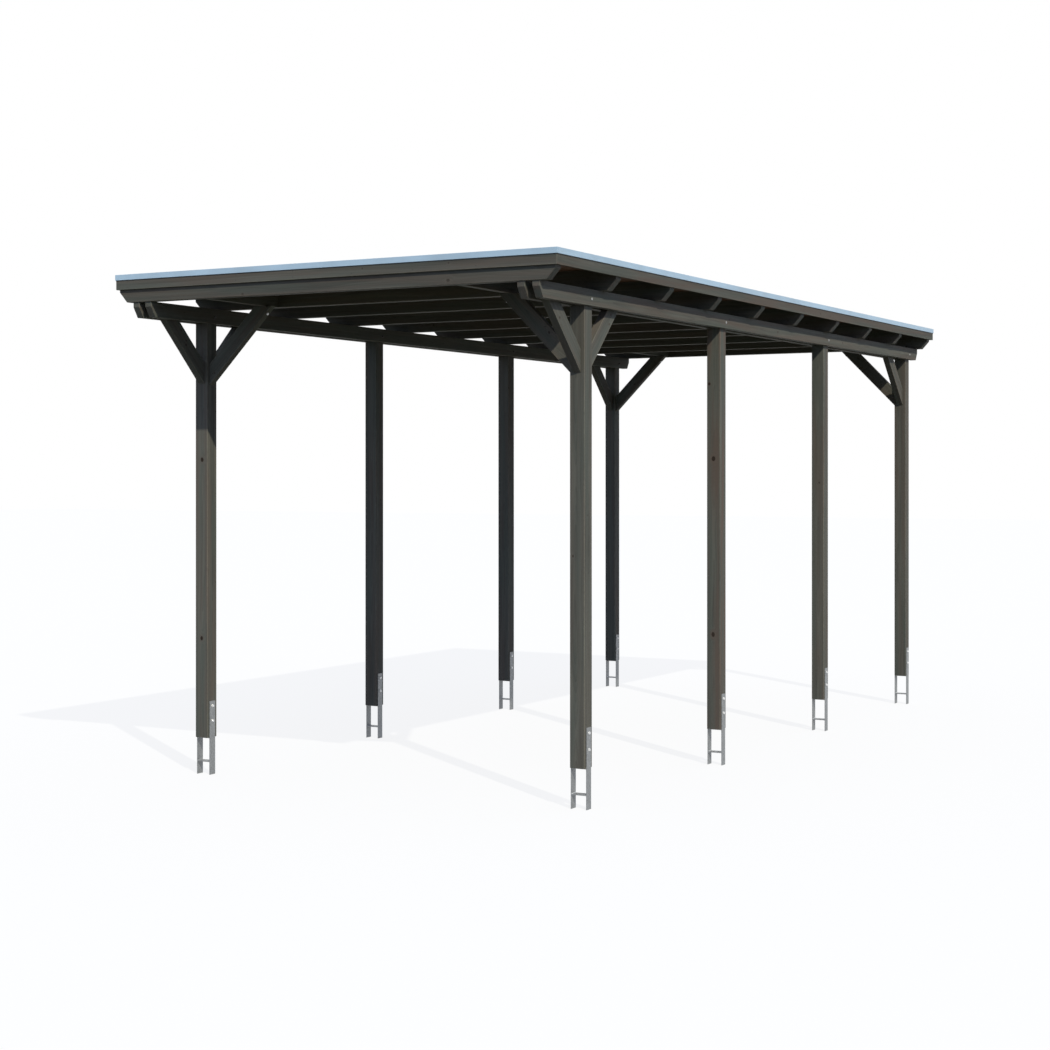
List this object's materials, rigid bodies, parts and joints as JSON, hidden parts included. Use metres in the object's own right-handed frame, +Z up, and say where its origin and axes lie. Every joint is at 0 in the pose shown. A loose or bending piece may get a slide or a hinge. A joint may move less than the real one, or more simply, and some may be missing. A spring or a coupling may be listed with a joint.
{
  "type": "carport",
  "caption": "Open timber carport with a flat roof on twin beams, knee-braced posts and welded steel post anchors.",
  "frame": {"origin": "under the middle of the roof, level with the feet of the post anchors", "axes": "+X across the carport to its right, +Y from the front, where the roof overhangs most, to the rear, +Z up"},
  "size_m": [3.94, 8.64, 4.016],
  "materials": {
    "stained_timber": "slate-grey stained, planed softwood",
    "roof_boards": "brown planed boards",
    "galvanised_steel": "hot-dip galvanised",
    "edge_trim": "pale satin aluminium",
    "roof_covering": "matt dark sheet"
  },
  "bodies": {
    "root": {"end_edge_trims": "edge_trim", "front_blocking": "stained_timber", "front_fascia": "stained_timber", "left_fascia": "stained_timber", "left_front_brace_across": "stained_timber", "left_front_brace_back": "stained_timber", "left_front_brace_forward": "stained_timber", "left_inner_beam": "stained_timber", "left_outer_beam": "stained_timber", "left_post_1": "stained_timber", "left_post_2": "stained_timber", "left_post_3": "stained_timber", "left_post_4": "stained_timber", "left_post_anchors": "galvanised_steel", "left_rear_brace_across": "stained_timber", "left_rear_brace_forward": "stained_timber", "rafter_01": "stained_timber", "rafter_02": "stained_timber", "rafter_03": "stained_timber", "rafter_04": "stained_timber", "rafter_05": "stained_timber", "rafter_06": "stained_timber", "rafter_07": "stained_timber", "rafter_08": "stained_timber", "rafter_09": "stained_timber", "rafter_10": "stained_timber", "rear_blocking": "stained_timber", "rear_fascia": "stained_timber", "right_fascia": "stained_timber", "right_front_brace_across": "stained_timber", "right_front_brace_back": "stained_timber", "right_front_brace_forward": "stained_timber", "right_inner_beam": "stained_timber", "right_outer_beam": "stained_timber", "right_post_1": "stained_timber", "right_post_2": "stained_timber", "right_post_3": "stained_timber", "right_post_4": "stained_timber", "right_post_anchors": "galvanised_steel", "right_rear_brace_across": "stained_timber", "right_rear_brace_forward": "stained_timber", "roof_covering": "roof_covering", "roof_deck": "roof_boards", "side_edge_trims": "edge_trim"}
  },
  "joints": []
}
